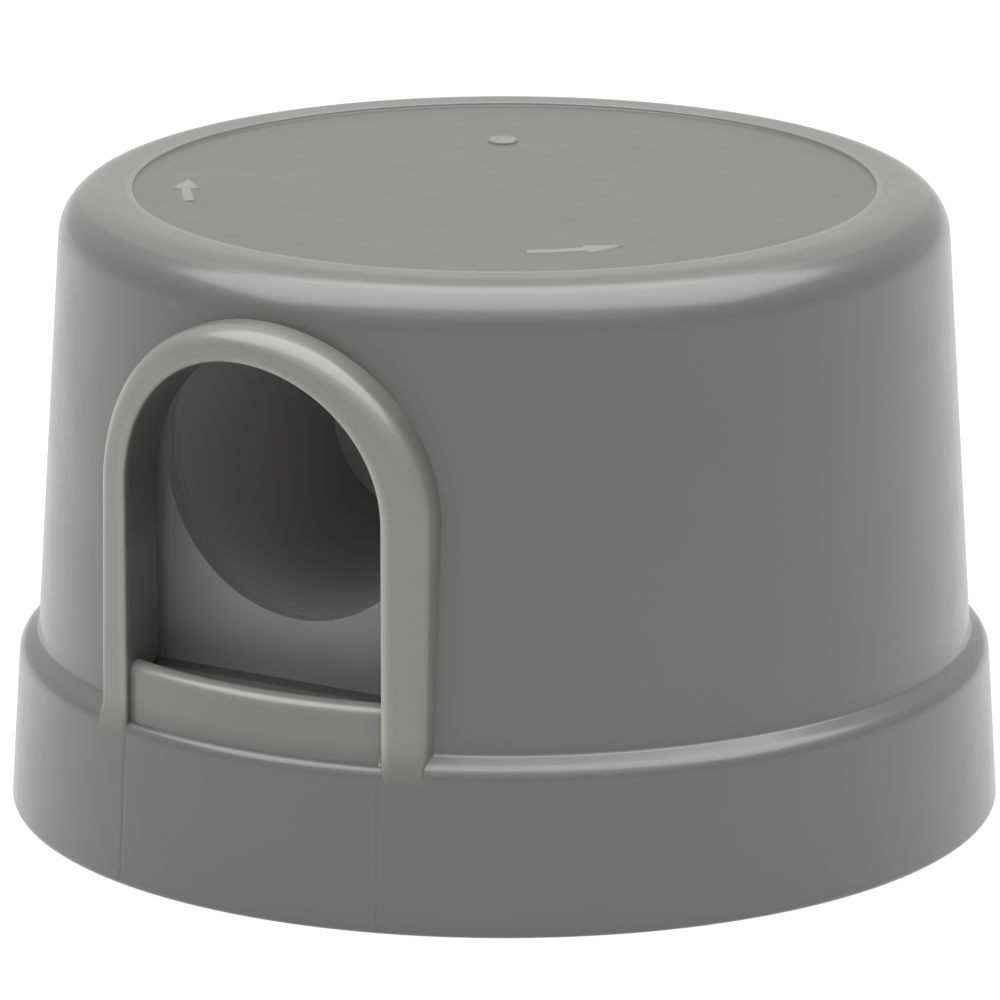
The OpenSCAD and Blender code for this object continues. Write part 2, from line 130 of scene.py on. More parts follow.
ROUND_Z = COVER_H - TOP_ROUND
ROUND_R = body_face(ROUND_Z) - TOP_ROUND / DRAFT_COS
DISC_Z = COVER_H - DISC_DEPTH
FRAME_R = skirt_face(SKIRT_H)
PANEL_R = FRAME_R - PANEL_INSET
LEG_MIDDLE = (WINDOW_HALF + FRAME_HALF) / 2


def cover_face(z):
    """Radius of the outer face at a height, the rounded top edge included."""
    if z <= ROUND_Z + TOP_ROUND * DRAFT * DRAFT_COS:
        return body_face(z)
    return ROUND_R + math.sqrt(max(TOP_ROUND ** 2 - (z - ROUND_Z) ** 2, 0))


# Numbers of points on the roundings and across the frame's face
EDGE_POINTS = 7
SMALL_EDGE_POINTS = 5
TOP_ROUND_POINTS = 22
LEDGE_POINTS = 14
SILL_EDGE_POINTS = 11
FRAME_EDGE_POINTS = 12
FRAME_FACE_POINTS = 6
JAMB_EDGE_POINTS = 8

# Mesh helpers
# The mask's attribute: a lighter finish on some faces, painted highlights and painted light on some edges
MASK = "finish_and_painted_highlight"
WELD = 0.002


class Shell:
    """Collects grids of points and makes one mesh object from them."""

    def __init__(self):
        self.points = []
        self.faces = []
        self.mask = []

    def grid(self, rows, close=False, keep=None, flip=False, mask=lambda point: 0.0):
        """Adds quads between rows of points; close joins the last column to the first."""
        rows = np.asarray(rows, float)
        count, width = rows.shape[:2]
        start = len(self.points)
        self.points.extend(map(tuple, rows.reshape(-1, 3)))
        self.mask.extend(mask(point) for point in rows.reshape(-1, 3))
        for i in range(count - 1):
            for j in range(width if close else width - 1):
                k = (j + 1) % width
                if keep is not None and not keep(rows[i:i + 2, [j, k]].reshape(-1, 3).mean(0)):
                    continue
                quad = [i * width + j, i * width + k, (i + 1) * width + k, (i + 1) * width + j]
                self.faces.append([start + q for q in (quad[::-1] if flip else quad)])

    def make(self, name, material):
        """Makes the object, welds points that meet and gives it smooth weighted normals."""
        mesh = bpy.data.meshes.new(name)
        mesh.from_pydata([(x * MM, y * MM, z * MM) for x, y, z in self.points], [], self.faces)
        bm = bmesh.new()
        bm.from_mesh(mesh)
        layer = bm.verts.layers.float.new(MASK)
        for vert, value in zip(bm.verts, self.mask):
            vert[layer] = value
        bmesh.ops.remove_doubles(bm, verts=bm.verts, dist=WELD * MM)
        bmesh.ops.dissolve_degenerate(bm, edges=bm.edges, dist=WELD * MM / 4)
        loose = [v for v in bm.verts if not v.link_faces]
        bmesh.ops.delete(bm, geom=loose, context="VERTS")
        for face in bm.faces:
            face.smooth = True
        bm.to_mesh(mesh)
        bm.free()
        piece = bpy.data.objects.new(name, mesh)
        bpy.context.scene.collection.objects.link(piece)
        mesh.materials.append(material)
        weighted = piece.modifiers.new("weighted", "WEIGHTED_NORMAL")
        weighted.keep_sharp = True
        return piece


def arc(centre, radius, start, end, count):
    """Points on an arc between two angles in degrees."""
    angles = np.radians(np.linspace(start, end, count))
    return [(centre[0] + radius * math.cos(a), centre[1] + radius * math.sin(a)) for a in angles]


def fillet(before, corner, after, radius, count=EDGE_POINTS):
    """Points on the arc that rounds a corner between two straight lines."""
    c = np.array(corner, float)
    u = np.array(before, float) - c
    v = np.array(after, float) - c
    u /= np.linalg.norm(u)
    v /= np.linalg.norm(v)
    half = math.acos(np.clip(u @ v, -1, 1)) / 2
    middle = c + (u + v) / np.linalg.norm(u + v) * radius / math.sin(half)
    a = c + u * radius / math.tan(half) - middle
    b = c + v * radius / math.tan(half) - middle
    turn = math.atan2(a[0] * b[1] - a[1] * b[0], a @ b)
    start = math.atan2(a[1], a[0])
    return [
        (middle[0] + radius * math.cos(start + turn * t), middle[1] + radius * math.sin(start + turn * t))
        for t in np.linspace(0, 1, count)
    ]


def line(start, end, count):
    """Points between two ends, the ends left out."""
    return [
        (start[0] + (end[0] - start[0]) * t, start[1] + (end[1] - start[1]) * t)
        for t in np.linspace(0, 1, count + 2)[1:-1]
    ]


# Material helpers; most of a noise lies between its low and its high value, and waves are counted a metre
NOISE_LOW = 0.3
NOISE_HIGH = 0.7
MOTTLE_WAVES = 60
GLOSS_WAVES = 180
GRAIN_WAVES = 2600
TARNISH_WAVES = 150
POLISH_WAVES = 900
GLOSS_SPREAD = 0.03
GRAIN_STRENGTH = 0.35
TARNISH_SHARE = 0.92
POLISH_GAIN = 0.06
POLISH_LOSS = 0.08
POLISH_STRENGTH = 0.2
POLISH_DEPTH = 0.01


def new_material(name, colour, roughness, **sockets):
    """A Principled material with its constants on the shader's own sockets."""
    material = bpy.data.materials.new(name)
    material.use_nodes = True
    shader = material.node_tree.nodes["Principled BSDF"]
    shader.inputs["Base Color"].default_value = (*colour, 1)
    shader.inputs["Roughness"].default_value = roughness
    for socket, value in sockets.items():
        shader.inputs[socket.replace("_", " ")].default_value = value
    return material


def add_noise(material, scale, detail=3.0):
    """A noise texture on object coordinates; scale is waves a metre."""
    tree = material.node_tree
    coords = tree.nodes.new("ShaderNodeTexCoord")
    noise = tree.nodes.new("ShaderNodeTexNoise")
    noise.inputs["Scale"].default_value = scale
    noise.inputs["Detail"].default_value = detail
    tree.links.new(coords.outputs["Object"], noise.inputs["Vector"])
    return noise


def add_range(tree, source, low, high, start, end):
    """A node that maps a value from the range low to high onto the range start to end."""
    span = tree.nodes.new("ShaderNodeMapRange")
    span.inputs["From Min"].default_value = low
    span.inputs["From Max"].default_value = high
    span.inputs["To Min"].default_value = start
    span.inputs["To Max"].default_value = end
    tree.links.new(source, span.inputs["Value"])
    return span.outputs["Result"]


def vary(material, noise, socket, low, high):
    """Drives a shader socket between two values by a noise."""
    tree = material.node_tree
    value = add_range(tree, noise.outputs["Fac"], NOISE_LOW, NOISE_HIGH, low, high)
    tree.links.new(value, tree.nodes["Principled BSDF"].inputs[socket])


def vary_colour(material, noise, low, high):
    """Mixes two base colours by a noise."""
    tree = material.node_tree
    shader = tree.nodes["Principled BSDF"]
    ramp = tree.nodes.new("ShaderNodeValToRGB")
    ramp.color_ramp.elements[0].position = NOISE_LOW
    ramp.color_ramp.elements[1].position = NOISE_HIGH
    ramp.color_ramp.elements[0].color = (*low, 1)
    ramp.color_ramp.elements[1].color = (*high, 1)
    tree.links.new(noise.outputs["Fac"], ramp.inputs["Fac"])
    tree.links.new(ramp.outputs["Color"], shader.inputs["Base Color"])


def add_bump(material, noise, strength, distance):
    """Bumps the surface by a noise; distance is millimetres."""
    tree = material.node_tree
    shader = tree.nodes["Principled BSDF"]
    bump = tree.nodes.new("ShaderNodeBump")
    bump.inputs["Strength"].default_value = strength
    bump.inputs["Distance"].default_value = distance * MM
    tree.links.new(noise.outputs["Fac"], bump.inputs["Height"])
    tree.links.new(bump.outputs["Normal"], shader.inputs["Normal"])


def tint_by_mask(material, colour):
    """Mixes in another base colour where the mesh carries the mask."""
    tree = material.node_tree
    shader = tree.nodes["Principled BSDF"]
    source = shader.inputs["Base Color"].links[0].from_socket
    mask = tree.nodes.new("ShaderNodeAttribute")
    mask.attribute_name = MASK
    mix = tree.nodes.new("ShaderNodeMix")
    mix.data_type = "RGBA"
    tree.links.new(mask.outputs["Fac"], mix.inputs["Factor"])
    tree.links.new(source, mix.inputs["A"])
    mix.inputs["B"].default_value = (*colour, 1)
    tree.links.new(mix.outputs["Result"], shader.inputs["Base Color"])


def by_radius(material, socket, low, high, inside, outside):
    """Drives a shader socket from one value to another over a range of distances from the axis."""
    tree = material.node_tree
    coords = tree.nodes.new("ShaderNodeTexCoord")
    flat = tree.nodes.new("ShaderNodeVectorMath")
    flat.operation = "MULTIPLY"
    flat.inputs[1].default_value = (1, 1, 0)
    length = tree.nodes.new("ShaderNodeVectorMath")
    length.operation = "LENGTH"
    tree.links.new(coords.outputs["Object"], flat.inputs[0])
    tree.links.new(flat.outputs[0], length.inputs[0])
    value = add_range(tree, length.outputs["Value"], low * MM, high * MM, inside, outside)
    tree.links.new(value, tree.nodes["Principled BSDF"].inputs[socket])


def paint_shade_inward(material, front, back, share):
    """Paints shade: lowers the base colour from the window side inward, where less light reaches into the bore.
    """
    tree = material.node_tree
    shader = tree.nodes["Principled BSDF"]
    source = shader.inputs["Base Color"].links[0].from_socket
    coords = tree.nodes.new("ShaderNodeTexCoord")
    axes = tree.nodes.new("ShaderNodeSeparateXYZ")
    mix = tree.nodes.new("ShaderNodeMix")
    mix.data_type = "RGBA"
    mix.blend_type = "MULTIPLY"
    mix.inputs["Factor"].default_value = 1
    tree.links.new(coords.outputs["Object"], axes.inputs[0])
    tree.links.new(source, mix.inputs["A"])
    tree.links.new(add_range(tree, axes.outputs["Y"], front * MM, back * MM, 1, share), mix.inputs["B"])
    tree.links.new(mix.outputs["Result"], shader.inputs["Base Color"])


def moulded(name, colour, roughness, spread=0.06, grain=0.01, **sockets):
    """Moulded plastic: faint mottling, uneven gloss and a fine grain."""
    material = new_material(name, colour, roughness, **sockets)
    darker = [c * (1 - spread) for c in colour]
    lighter = [c * (1 + spread) for c in colour]
    vary_colour(material, add_noise(material, MOTTLE_WAVES), darker, lighter)
    gloss = add_noise(material, GLOSS_WAVES)
    vary(material, gloss, "Roughness", roughness - GLOSS_SPREAD, roughness + GLOSS_SPREAD)
    add_bump(material, add_noise(material, GRAIN_WAVES, detail=2), GRAIN_STRENGTH, grain)
    return material


def metal(name, colour, roughness):
    """Plated or bare metal with fine uneven polish."""
    material = new_material(name, colour, roughness, Metallic=1.0)
    polish = add_noise(material, POLISH_WAVES)
    vary(material, polish, "Roughness", roughness - POLISH_GAIN, roughness + POLISH_LOSS)
    tarnished = [c * TARNISH_SHARE for c in colour]
    vary_colour(material, add_noise(material, TARNISH_WAVES), tarnished, colour)
    add_bump(material, polish, POLISH_STRENGTH, POLISH_DEPTH)
    return material


def clear_plastic(name):
    """Clear sheet: a thin film of gloss over what lies behind it."""
    material = new_material(name, (0.03, 0.03, 0.03), 0.2, Alpha=0.08)
    vary(material, add_noise(material, 120), "Roughness", 0.16, 0.24)
    add_bump(material, add_noise(material, 40), 0.05, 0.02)
    return material


# Cover's plastic: lighter where the mask is, a lighter finish on some faces and painted highlights on some
# edges, with less gloss on the sunk disc
DISC_COAT = 0.15
OUTER_COAT = 0.65
COAT_FADE = 0.5
cover_plastic = moulded("cover_plastic", (0.0625, 0.0625, 0.062), 0.4, spread=0.02, Coat_Roughness=0.19)
tint_by_mask(cover_plastic, (0.26, 0.262, 0.23))
by_radius(cover_plastic, "Coat Weight", DISC_R, DISC_R + COAT_FADE, DISC_COAT, OUTER_COAT)

# Cell holder's plastic, with painted shade that darkens it towards the back of the light tunnel
TUNNEL_FRONT_Y = -31
TUNNEL_BACK_Y = -14
TUNNEL_SHADE_SHARE = 0.75
holder_plastic = moulded("holder_plastic", (0.19, 0.185, 0.185), 0.42)
# Painted shade, deepening from the tunnel's front to its back
paint_shade_inward(holder_plastic, TUNNEL_FRONT_Y, TUNNEL_BACK_Y, TUNNEL_SHADE_SHARE)

# Other plastics, rubber, metals and the coatings of the electric parts
base_plastic = moulded("base_plastic", (0.05, 0.05, 0.051), 0.45)
gasket_rubber = moulded("gasket_rubber", (0.02, 0.02, 0.021), 0.8, grain=0.06)
screw_steel = metal("screw_steel", (0.55, 0.55, 0.53), 0.3)
rivet_metal = metal("rivet_metal", (0.58, 0.57, 0.54), 0.28)
blade_brass = metal("blade_brass", (0.72, 0.52, 0.2), 0.26)
solder = metal("solder", (0.6, 0.6, 0.58), 0.3)
board_laminate = moulded("board_laminate", (0.015, 0.1, 0.035), 0.35)
relay_plastic = moulded("relay_plastic", (0.01, 0.04, 0.2), 0.25)
film_plastic = moulded("film_plastic", (0.3, 0.02, 0.015), 0.25)
can_sleeve = moulded("can_sleeve", (0.008, 0.01, 0.04), 0.2)
varistor_ceramic = moulded("varistor_ceramic", (0.01, 0.07, 0.3), 0.3)
diode_plastic = moulded("diode_plastic", (0.006, 0.006, 0.006), 0.4)
zener_glass = moulded("zener_glass", (0.4, 0.1, 0.04), 0.1)
resistor_ceramic = moulded("resistor_ceramic", (0.5, 0.36, 0.18), 0.4)
cell_ceramic = moulded("cell_ceramic", (0.45, 0.13, 0.05), 0.35)
clear_pane = clear_plastic("clear_pane")

# Parting lines of the mould, down the skirt from the inner edges of the legs; half width and columns in degrees
PARTING_ANGLE = math.asin(WINDOW_HALF / SKIRT_R)
PARTING_DEPTH = 0.04
PARTING_HALF_DEGREES = 0.06
PARTING_COLUMNS = (-0.12, -0.04, 0.04, 0.12)
PARTING_LOW_Z = 0.6
PARTING_HIGH_Z = LEDGE_Z - 1

# Columns of the cover's wall in degrees, and heights and radii of its rows of points on straight stretches
COLUMN_STEP = 1.0
BODY_ROW_STEP = 0.7
SKIRT_ROWS = (0.7, 2, 4, 6, 8, 9.6, 10.8, 11.7, 12.3)
BODY_FOOT_ROWS = (15.6, 16.0, 16.6, PANEL_TOP_Z)
BODY_ROWS = np.arange(PANEL_TOP_Z + BODY_ROW_STEP, 48.6, BODY_ROW_STEP)
DISC_ROWS = (30.8, 29, 25, 20, 14, 8, 4, 2, 0)
CEILING_ROWS = (0, 10, 20, 30)
BODY_BORE_ROWS = (*np.arange(48, 13, -1.4), BORE_STEP_Z + 0.3, BORE_STEP_Z)
SKIRT_BORE_ROWS = (BORE_STEP_Z, 11.5, 8, 4, 1)

# Height of the point in the bore that sets the slope of the rim's inner rounding
RIM_GUIDE_Z = 4


def column_angles():
    """Angles of the columns, with extra ones at the parting lines; 0 looks out of the window, along -Y."""
    angles = set(np.round(np.radians(np.arange(0, 360, COLUMN_STEP)), 6))
    for side in (-1, 1):
        for off in PARTING_COLUMNS:
            angle = side * PARTING_ANGLE + math.radians(off)
            angles.add(round(angle % (2 * math.pi), 6))
    return sorted(angles)


def ledge_round():
    """Long soft rounding from the skirt's face in to the foot of the panel."""
    low = LEDGE_Z - LEDGE_DROP
    reach = skirt_face(low) - PANEL_R
    turns = np.radians(np.linspace(0, 90, LEDGE_POINTS))
    return [(PANEL_R + reach * math.cos(t), low + LEDGE_DROP * math.sin(t)) for t in turns]


def lower_profile(front):
    """Outer section from the rim to the body; front is the part between the window legs."""
    rim_in, rim_out = (skirt_bore(0), 0), (skirt_face(0), 0)
    rim_guide = (skirt_bore(0) - DRAFT, RIM_GUIDE_Z)
    edge = (skirt_face(SHOULDER_EDGE_Z), SHOULDER_EDGE_Z)
    inner, above = (body_face(SHOULDER_Z), SHOULDER_Z), (body_face(SILL_Z), SILL_Z)
    points = fillet(rim_guide, rim_in, rim_out, RIM_EDGE)
    points += fillet(rim_in, rim_out, edge, RIM_EDGE)
    points += [(skirt_face(z), z) for z in SKIRT_ROWS]
    if front:
        return points + ledge_round()
    points += fillet(rim_out, edge, inner, SKIRT_EDGE)
    points += fillet(edge, inner, above, SHOULDER_FILLET)
    return points


def body_profile(front):
    """Outer section of the body from above the shoulder to the middle of the top."""
    points = [(PANEL_R if front else body_face(z), z) for z in BODY_FOOT_ROWS]
    points += [(body_face(z), z) for z in BODY_ROWS]
    points += arc((ROUND_R, ROUND_Z), TOP_ROUND, DRAFT_DEGREES, 90, TOP_ROUND_POINTS)
    round_end, disc_rim, disc_foot = (ROUND_R, COVER_H), (DISC_R, COVER_H), (DISC_R, DISC_Z)
    points += line(round_end, disc_rim, 2)
    points += fillet(round_end, disc_rim, disc_foot, DISC_EDGE, SMALL_EDGE_POINTS)
    points += fillet(disc_rim, disc_foot, (0, DISC_Z), DISC_EDGE, SMALL_EDGE_POINTS)
    points += [(r, DISC_Z) for r in DISC_ROWS]
    return points


def inner_profile():
    """Inner section from the middle of the ceiling to the rim."""
    ceiling, bevel = COVER_H - TOP_WALL, WALL / 2
    points = [(r, ceiling) for r in CEILING_ROWS]
    points += [(body_bore(ceiling) - bevel, ceiling), (body_bore(ceiling - bevel), ceiling - bevel)]
    points += [(body_bore(z), z) for z in BODY_BORE_ROWS]
    points += [(skirt_bore(z), z) for z in SKIRT_BORE_ROWS]
    return points


def outside_window(point):
    """Whether a wall face lies outside the middle of the window frame."""
    x, y, z = point
    if y > 0 or z < PANEL_TOP_Z:
        return True
    rise = max(z - SPRING_Z, 0)
    return math.hypot(x, rise) > LEG_MIDDLE


# Finish of the cover: the share of the lighter tint on each face, which the mesh carries as a mask; on some
# edges and on the arch's top the tint is painted highlight and painted light
FACE_MASK = 0.26
PANEL_MASK = 0.14
RIM_MASK = 0.09
DISC_MASK = 0.075
# Painted highlight on the step round the sunk disc
DISC_STEP_HIGHLIGHT_MASK = 0.31
# Painted highlight on the sill's rounded top edge
SILL_HIGHLIGHT_MASK = 0.45
# Painted highlight on the frame's inner edges, stronger on the right, over a width from the edge
LEFT_EDGE_HIGHLIGHT_MASK = 0.5
RIGHT_EDGE_HIGHLIGHT_MASK = 1.0
EDGE_HIGHLIGHT_WIDTH = 0.9
MARK_MASK = 0.43

# Where the finish and the painted light start, end and fade
TOP_START_Z = ROUND_Z + 0.8 * TOP_ROUND
RIM_START_R = DISC_R + 0.5
DISC_END_Z = DISC_Z + 0.05
PANEL_RISE = 0.5
# Heights over which the arch's outer side takes on the lighter tint: painted light on its upward-facing top
ARCH_PAINTED_LIGHT_Z = (40, 47)
OUTER_FADE = (FRAME_R - 2.8, FRAME_R - 0.6)
JAMB_FADE = (FRAME_R - 0.55, FRAME_R - 0.1)
LEG_FADE_Z = (12.2, 13.6, 16)
LEG_FADE_SHARES = (0, 0.3, 1)


def leg_fade(z):
    """Share of the frame's finish left on a leg, which runs out down the skirt."""
    return float(np.interp(z, LEG_FADE_Z, LEG_FADE_SHARES))


def ramp_share(value, low, high):
    """Share of the way from low to high, kept between 0 and 1."""
    return np.clip((value - low) / (high - low), 0, 1)


def wall_mask(point):
    """Finish of the top, with a painted highlight on the disc's step, of the panel and, fading out down the
    skirt, under the legs.
    """
    x, y, z = point
    radius = math.hypot(x, y)
    if z > TOP_START_Z:
        if radius > RIM_START_R:
            return RIM_MASK
        # Points on the disc's step get a painted highlight
        return DISC_MASK if z < DISC_END_Z else DISC_STEP_HIGHLIGHT_MASK
    if y > 0 or abs(x) > FRAME_HALF:
        return 0.0
    if LEDGE_Z < z < SILL_Z and radius > body_face(z) + PANEL_RISE:
        return PANEL_MASK
    if abs(x) > WINDOW_HALF and z <= LEDGE_Z:
        return FACE_MASK * leg_fade(z)
    return 0.0


def parted(profile):
    """A section with the parting line's groove in the skirt."""
    return [(r - PARTING_DEPTH if PARTING_LOW_Z < z < PARTING_HIGH_Z else r, z) for r, z in profile]


def revolve(shell):
    """Wall of the cover, turned round the axis and open at the window."""
    columns = []
    for angle in column_angles():
        s, c = math.sin(angle), math.cos(angle)
        front = c > 0 and abs(s) * FRAME_R < LEG_MIDDLE
        lower = lower_profile(front)
        if c > 0 and abs(abs(math.asin(s)) - PARTING_ANGLE) < math.radians(PARTING_HALF_DEGREES):
            lower = parted(lower)
        section = inner_profile() + lower + body_profile(front)
        columns.append([(r * s, -r * c, z) for r, z in section])
    rows = np.array(columns).transpose(1, 0, 2)
    shell.grid(rows, close=True, keep=outside_window, mask=wall_mask)


# Window frame: stations up one leg, round the arch and down the other leg
LEG_FOOT_ROWS = (12.2, 12.8, 13.2, 13.45, 13.7, 13.95, 14.2, 14.5, 14.8, 15.2, 15.8, 16.6, 17.6)
LEG_ROWS = np.arange(18.4, SPRING_Z - 0.3, 0.8)
ARCH_STATIONS = 73

# Foot of a leg, where its face bends over a soft stretch into the skirt and then sinks under it
FOOT_SOFT = 0.45
FOOT_SINK = 0.03
FOOT_SINK_Z = 13.2
FACE_LIFT = 0.004

# Section of the frame: least height of its side, how far it goes under the wall, and where the jamb ends
LEAST_SIDE = 0.02
SIDE_SUNK = 0.1
SIDE_END_SUNK = 0.3
SIDE_SHARES = (0, 0.3, 0.7)
JAMB_SHARES = (0.15, 0.4, 0.7, 1)
JAMB_PAST_PANE = 0.05
JAMB_LOW_Z = 17.6
JAMB_LOW_Y = -35.4
JAMB_FOOT_Z = SKIRT_H - 0.1
JAMB_FOOT_DEPTH = 0.4


def frame_stations():
    """Direction across the frame and height of its centre, at each station."""
    heights = [*LEG_FOOT_ROWS, *LEG_ROWS]
    stations = [(1, 0, z) for z in heights]
    stations += [(math.cos(p), math.sin(p), SPRING_Z) for p in np.linspace(0, math.pi, ARCH_STATIONS)]
    stations += [(-1, 0, z) for z in heights[::-1]]
    return stations


def frame_face(z):
    """Radius of the frame's upright face, which runs smoothly into the skirt below."""
    drop = FOOT_SOFT * math.log1p(math.exp((SKIRT_H - z) / FOOT_SOFT))
    return FRAME_R + DRAFT * drop - FOOT_SINK * max(0, FOOT_SINK_Z - z) + FACE_LIFT


def shoulder_face(z):
    """Radius of the outer face at a height beside the frame, the shoulder included."""
    if z <= SHOULDER_EDGE_Z:
        return skirt_face(z)
    if z < SHOULDER_Z:
        share = (z - SHOULDER_EDGE_Z) / (SHOULDER_Z - SHOULDER_EDGE_Z)
        return skirt_face(SHOULDER_EDGE_Z) * (1 - share) + body_face(SHOULDER_Z) * share
    return cover_face(z)


def jamb_end(y, z):
    """Depth at which the jamb ends: past the pane's front, in the panel, or just under the skirt's face."""
    if z < JAMB_FOOT_Z:
        return y + JAMB_FOOT_DEPTH
    return -PANE_Y + JAMB_PAST_PANE if z > JAMB_LOW_Z else JAMB_LOW_Y


def frame_section(ux, uz, centre):
    """Points across the frame, from its outer foot over the face to the back of the jamb."""
    def place(h, radius):
        x, z = h * ux, centre + h * uz
        return (x, -math.sqrt(max(radius ** 2 - x * x, 0)), z)

    half = FRAME_HALF - ARCH_TRIM * uz
    opening = WINDOW_HALF - JAMB_DRAFT + ARCH_OPEN * uz
    foot = shoulder_face(centre + half * uz)
    face = frame_face(centre + half * uz)
    edge = FRAME_EDGE_SHARE * max(face - foot, LEAST_SIDE)
    low, high = foot - SIDE_SUNK, face - edge
    points = [place(half, foot - SIDE_END_SUNK)]
    points += [place(half, low + (high - low) * t) for t in SIDE_SHARES]
    for t in np.radians(np.linspace(90, 0, FRAME_EDGE_POINTS)):
        points.append(place(half - edge + edge * math.sin(t), face - edge + edge * math.cos(t)))
    for h in np.linspace(half - edge, opening + JAMB_EDGE, FRAME_FACE_POINTS)[1:-1]:
        points.append(place(h, frame_face(centre + h * uz)))
    inner = frame_face(centre + opening * uz)
    for t in np.linspace(90, 0, JAMB_EDGE_POINTS):
        h = opening + JAMB_EDGE * (1 - math.cos(math.radians(t)))
        points.append(place(h, inner - JAMB_EDGE + JAMB_EDGE * math.sin(math.radians(t))))
    x, y, z = points[-1]
    back = jamb_end(y, z)
    for t in JAMB_SHARES:
        out = JAMB_DRAFT * t
        points.append((x + out * ux, y + (back - y) * t, z + out * uz))
    return points


def frame_mask(point):
    """Finish of the frame's face, with a painted highlight on the inner edge, stronger on the right, and
    painted light on the arch's top; none at the foot and in the jamb.
    """
    x, y, z = point
    across = math.hypot(x, max(z - SPRING_Z, 0))
    outer = across > LEG_MIDDLE
    face = ramp_share(math.hypot(x, y), *(OUTER_FADE if outer else JAMB_FADE))
    # Painted light: the outer side grows lighter towards the arch's top, where it faces up
    if outer:
        face = max(face, ramp_share(z, *ARCH_PAINTED_LIGHT_Z))
    # Painted highlight along the inner edge, stronger on the right leg
    edge_highlight = np.clip((WINDOW_HALF - JAMB_DRAFT + EDGE_HIGHLIGHT_WIDTH - across) / EDGE_HIGHLIGHT_WIDTH, 0, 1)
    edge = LEFT_EDGE_HIGHLIGHT_MASK if x < 0 else RIGHT_EDGE_HIGHLIGHT_MASK
    return float(face * (FACE_MASK + (edge - FACE_MASK) * edge_highlight) * leg_fade(z))


def window_frame(shell):
    """Raised frame with two legs and an arch."""
    shell.grid([frame_section(*s) for s in frame_stations()], flip=True, mask=frame_mask)


# Sill: columns across it, and rows of the shelf behind it as shares of the way to the pane
SILL_COLUMNS = 41
SHELF_SHARES = (0.04, 0.3, 0.6, 0.98)
SILL_BACK_R = PANEL_R - SILL_DEPTH
SILL_BACK_MARGIN = 0.1


def sill_mask(point):
    """The panel's finish, with a painted highlight on the rounded edge."""
    x, y, z = point
    # Painted highlight, growing towards the top of the sill's front rounding
    edge_highlight = np.clip((z - SILL_Z + SILL_EDGE) / SILL_EDGE, 0, 1)
    behind = math.hypot(x, y) < SILL_BACK_R + SILL_BACK_MARGIN
    return 0.0 if behind else float(PANEL_MASK + (SILL_HIGHLIGHT_MASK - PANEL_MASK) * edge_highlight)


def sill(shell):
    """Rounded top of the panel between the legs, its inner face and the shelf behind it."""
    outer, inner = (PANEL_R, SILL_Z), (SILL_BACK_R, SILL_Z)
    section = [(PANEL_R, PANEL_TOP_Z)]
    section += fillet((PANEL_R, SKIRT_H), outer, inner, SILL_EDGE, SILL_EDGE_POINTS)
    section += fillet(outer, inner, (SILL_BACK_R, SKIRT_H), SILL_BACK_EDGE)
    section += [(SILL_BACK_R, SHELF_Z)]
    half = math.asin((WINDOW_HALF + SILL_TUCK) / PANEL_R)
    columns = []
    for angle in np.linspace(-half, half, SILL_COLUMNS):
        column = [(r * math.sin(angle), -r * math.cos(angle), z) for r, z in section]
        x, y, z = column[-1]
        column += [(x, y + (-PANE_Y - y) * t, z) for t in SHELF_SHARES]
        columns.append(column)
    shell.grid(np.array(columns).transpose(1, 0, 2), mask=sill_mask)


# Base, and the three places round the axis that carry small turned pieces
PLACES = tuple(math.radians(a) for a in (90, 210, 330))
BASE_Z = 14.0
BASE_TOP = 17.5

# Screws through the base, with a cross recess; columns of a quarter turn in degrees
SCREW_R = 1.5
SCREW_POINT = 0.3
SCREW_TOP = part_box("base_screws")[1].z / MM
HEAD_R = 2.7
HEAD_H = 1.65
HEAD_EDGE = 0.35
RECESS_HALF = 0.36
RECESS_REACH = 1.5
RECESS_TAPER = 0.8
RECESS_DEPTH = 1.1
RECESS_MIDDLE_DEPTH = 1.2
QUARTER_COLUMNS = range(21, 70, 8)

# Bosses in the cover that take the screws, and their ribs
BOSS_PLACE_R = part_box("base_screws")[1].y / MM - HEAD_R
BOSS_R = 3.2
BOSS_TOP = SCREW_TOP + 3
BOSS_BORE_R = 1.55
BOSS_BORE_TOP = SCREW_TOP + 0.1
RIB_HALF = 1.1
RIB_IN_BOSS = 0.1
RIB_IN_WALL = 0.3

# Rivets of the blades, whose domes are given by shares of the head's radius
RIVET_PLACE_R = 12.3
RIVET_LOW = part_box("blade_rivets")[0].z / MM
RIVET_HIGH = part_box("blade_rivets")[1].z / MM
FOOT_TOP = RIVET_HIGH - (BASE_Z - RIVET_LOW)
RIVET_BRIM = 0.3
DOME_SHARES = (1, 0.9, 0.75, 0.5, 0.25, 0)


def cross_reach(angle):
    """Distance from the middle to the outline of a cross recess at an angle."""
    c, s = sorted((abs(math.cos(angle)), abs(math.sin(angle))), reverse=True)
    return min(RECESS_REACH / c, RECESS_HALF / max(s, 1e-9))


def recess_floor(angle):
    """Outline of the recess at its floor, drawn in by its taper."""
    return RECESS_TAPER * cross_reach(angle)


def cross_angles():
    """Angles of a turned piece's columns, with one at each corner of a cross recess."""
    tip = math.degrees(math.atan2(RECESS_HALF, RECESS_REACH))
    quarter = [0, tip, *QUARTER_COLUMNS, 90 - tip]
    return np.radians([q + k * 90 for k in range(4) for q in quarter])


def turned(shell, place, turn, section):
    """Turns a section of (radius or outline, height) round an upright axis at a place on the cover."""
    x, y = place * math.cos(turn), place * math.sin(turn)
    rows = []
    for radius, z in section:
        reach = radius if callable(radius) else lambda angle: radius
        rows.append([(x + reach(t) * math.cos(t), y + reach(t) * math.sin(t), z) for t in cross_angles()])
    shell.grid(rows, close=True)


